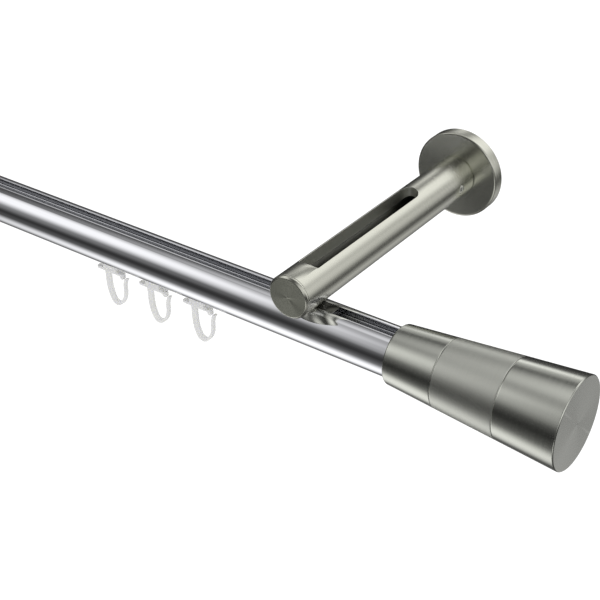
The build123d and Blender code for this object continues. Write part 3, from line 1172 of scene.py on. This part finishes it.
def tangent_run(points):
    """A straight line between the first two points, then arcs that carry on without a corner."""
    run = [Vector(points[0]), Vector(points[1])]
    heading = (run[1] - run[0]).normalized()
    for point in points[2:]:
        here = run[-1]
        chord = Vector(point) - here
        bent = heading.angle_signed(chord.normalized())
        for k in range(1, bend_steps + 1):
            share = k / bend_steps
            reach = chord.length * sin(bent * share) / sin(bent)
            turn = Matrix.Rotation(-bent * (share - 1), 2)
            run.append(here + turn @ chord.normalized() * reach)
        heading = Matrix.Rotation(-bent, 2) @ chord.normalized()
    return run


def hook_line(points):
    """One line of the hook at its height below the rail's axis."""
    return [(point.x * mm, hook_low + point.y * mm) for point in tangent_run(points)]


def prism(shape, outlines):
    """Adds a closed body between two like outlines to a moulding. They are places from the axis."""
    rings = [[shape.verts.new(rail_axis + Vector(point)) for point in outline] for outline in outlines]
    shape.faces.new(rings[0])
    shape.faces.new(list(reversed(rings[1])))
    count = len(rings[0])
    for k in range(count):
        n = (k + 1) % count
        shape.faces.new([rings[0][n], rings[0][k], rings[1][k], rings[1][n]])


def plate(shape, outline, thickness):
    """Adds a flat plate standing along the rod to a moulding, from an outline beside and above."""
    prism(shape, [[(x, y, z) for x, z in outline] for y in (-thickness / 2, thickness / 2)])


def slab(shape, length, width, corner, low, high):
    """Adds a lying slab with cut corners to a moulding."""
    end = length / 2
    side = width / 2
    outline = [(-end, corner - side), (corner - end, -side), (end - corner, -side), (end, corner - side)]
    outline += [(-x, -y) for x, y in outline]
    prism(shape, [[(x, y, z) for x, y in outline] for z in (low, high)])


def glider_moulding():
    """The glider's moulded shape at the rod's middle: plain bodies melted into one soft form."""
    shape = bmesh.new()
    slab(shape, head_length, head_width, head_corner, head_base, head_base + head_thickness)
    slab(shape, neck_length, neck_width, neck_corner, bar_top - overlap, head_base + overlap)
    slab(shape, bar_length, bar_width, bar_corner, bar_bottom, bar_top)
    plate(shape, hook_line(hook_outer) + list(reversed(hook_line(hook_inner))), hook_depth)
    right = bar_length / 2
    left = right - nub_length
    nub = [
        (left, bar_bottom + overlap),
        (left, bar_bottom - nub_height + bar_corner),
        (left + bar_corner, bar_bottom - nub_height),
        (right - bar_corner, bar_bottom - nub_height),
        (right, bar_bottom - nub_height + bar_corner),
        (right, bar_bottom + overlap),
    ]
    plate(shape, nub, hook_depth)
    bmesh.ops.recalc_face_normals(shape, faces=shape.faces)
    mesh = bpy.data.meshes.new("glider_moulding")
    shape.to_mesh(mesh)
    shape.free()
    piece = placed("glider_blank", mesh)
    melt = piece.modifiers.new("melt", "REMESH")
    melt.mode = "VOXEL"
    melt.voxel_size = melt_size
    soften = piece.modifiers.new("soften", "SMOOTH")
    soften.factor = 0.5
    soften.iterations = 5
    return plain_result("glider_form", piece)


def glider_tree():
    """Sets a moulded glider at its place along the rod."""
    inputs = {"Moulding": "Geometry", "Place": "Float", "Finish": "Material"}
    tree, given, glider = new_tree("glider_at_place", "Geometry", inputs, "Glider")
    along = wired(tree, "ShaderNodeCombineXYZ", "Vector", {"X": given["Place"]})
    move = {"Geometry": given["Moulding"], "Translation": along}
    moved = wired(tree, "GeometryNodeTransform", "Geometry", move)
    finish_tree(tree, moved, given["Finish"], glider)
    return tree


# Natural white plastic: a little light passes under its skin, and its gloss is uneven.
glow_share = 0.6
glow_colour = (1, 1, 0.9)
glow_depth = 2 * mm
whites = [(0.745, 0.745, 0.745), (0.785, 0.785, 0.785)]
clouds = [(150, 150, 150), (700, 700, 700), (1800, 1800, 1800)]
glider_plastic, skin, *_ = marked_finish("glider_plastic", whites, (0.42, 0.52), clouds, relief=4e-6)
skin.inputs["Subsurface Weight"].default_value = glow_share
skin.inputs["Subsurface Radius"].default_value = glow_colour
skin.inputs["Subsurface Scale"].default_value = glow_depth
moulding = glider_moulding()
moulding.data.materials.append(glider_plastic)
at_place = glider_tree()
places = [nearest_glider - glider_pitch * k for k in (2, 1, 0)]
places = [-place for place in reversed(places)] + places
for number, place in enumerate(places, 1):
    sizes = {"Place": place, "Finish": glider_plastic}
    glider = run_tree(f"glider_hook_{number}", moulding.data.copy(), at_place, sizes)
    dressed(glider, f"glider_{number}", f"glider_{number}", degrees=60)
bpy.data.objects.remove(moulding)
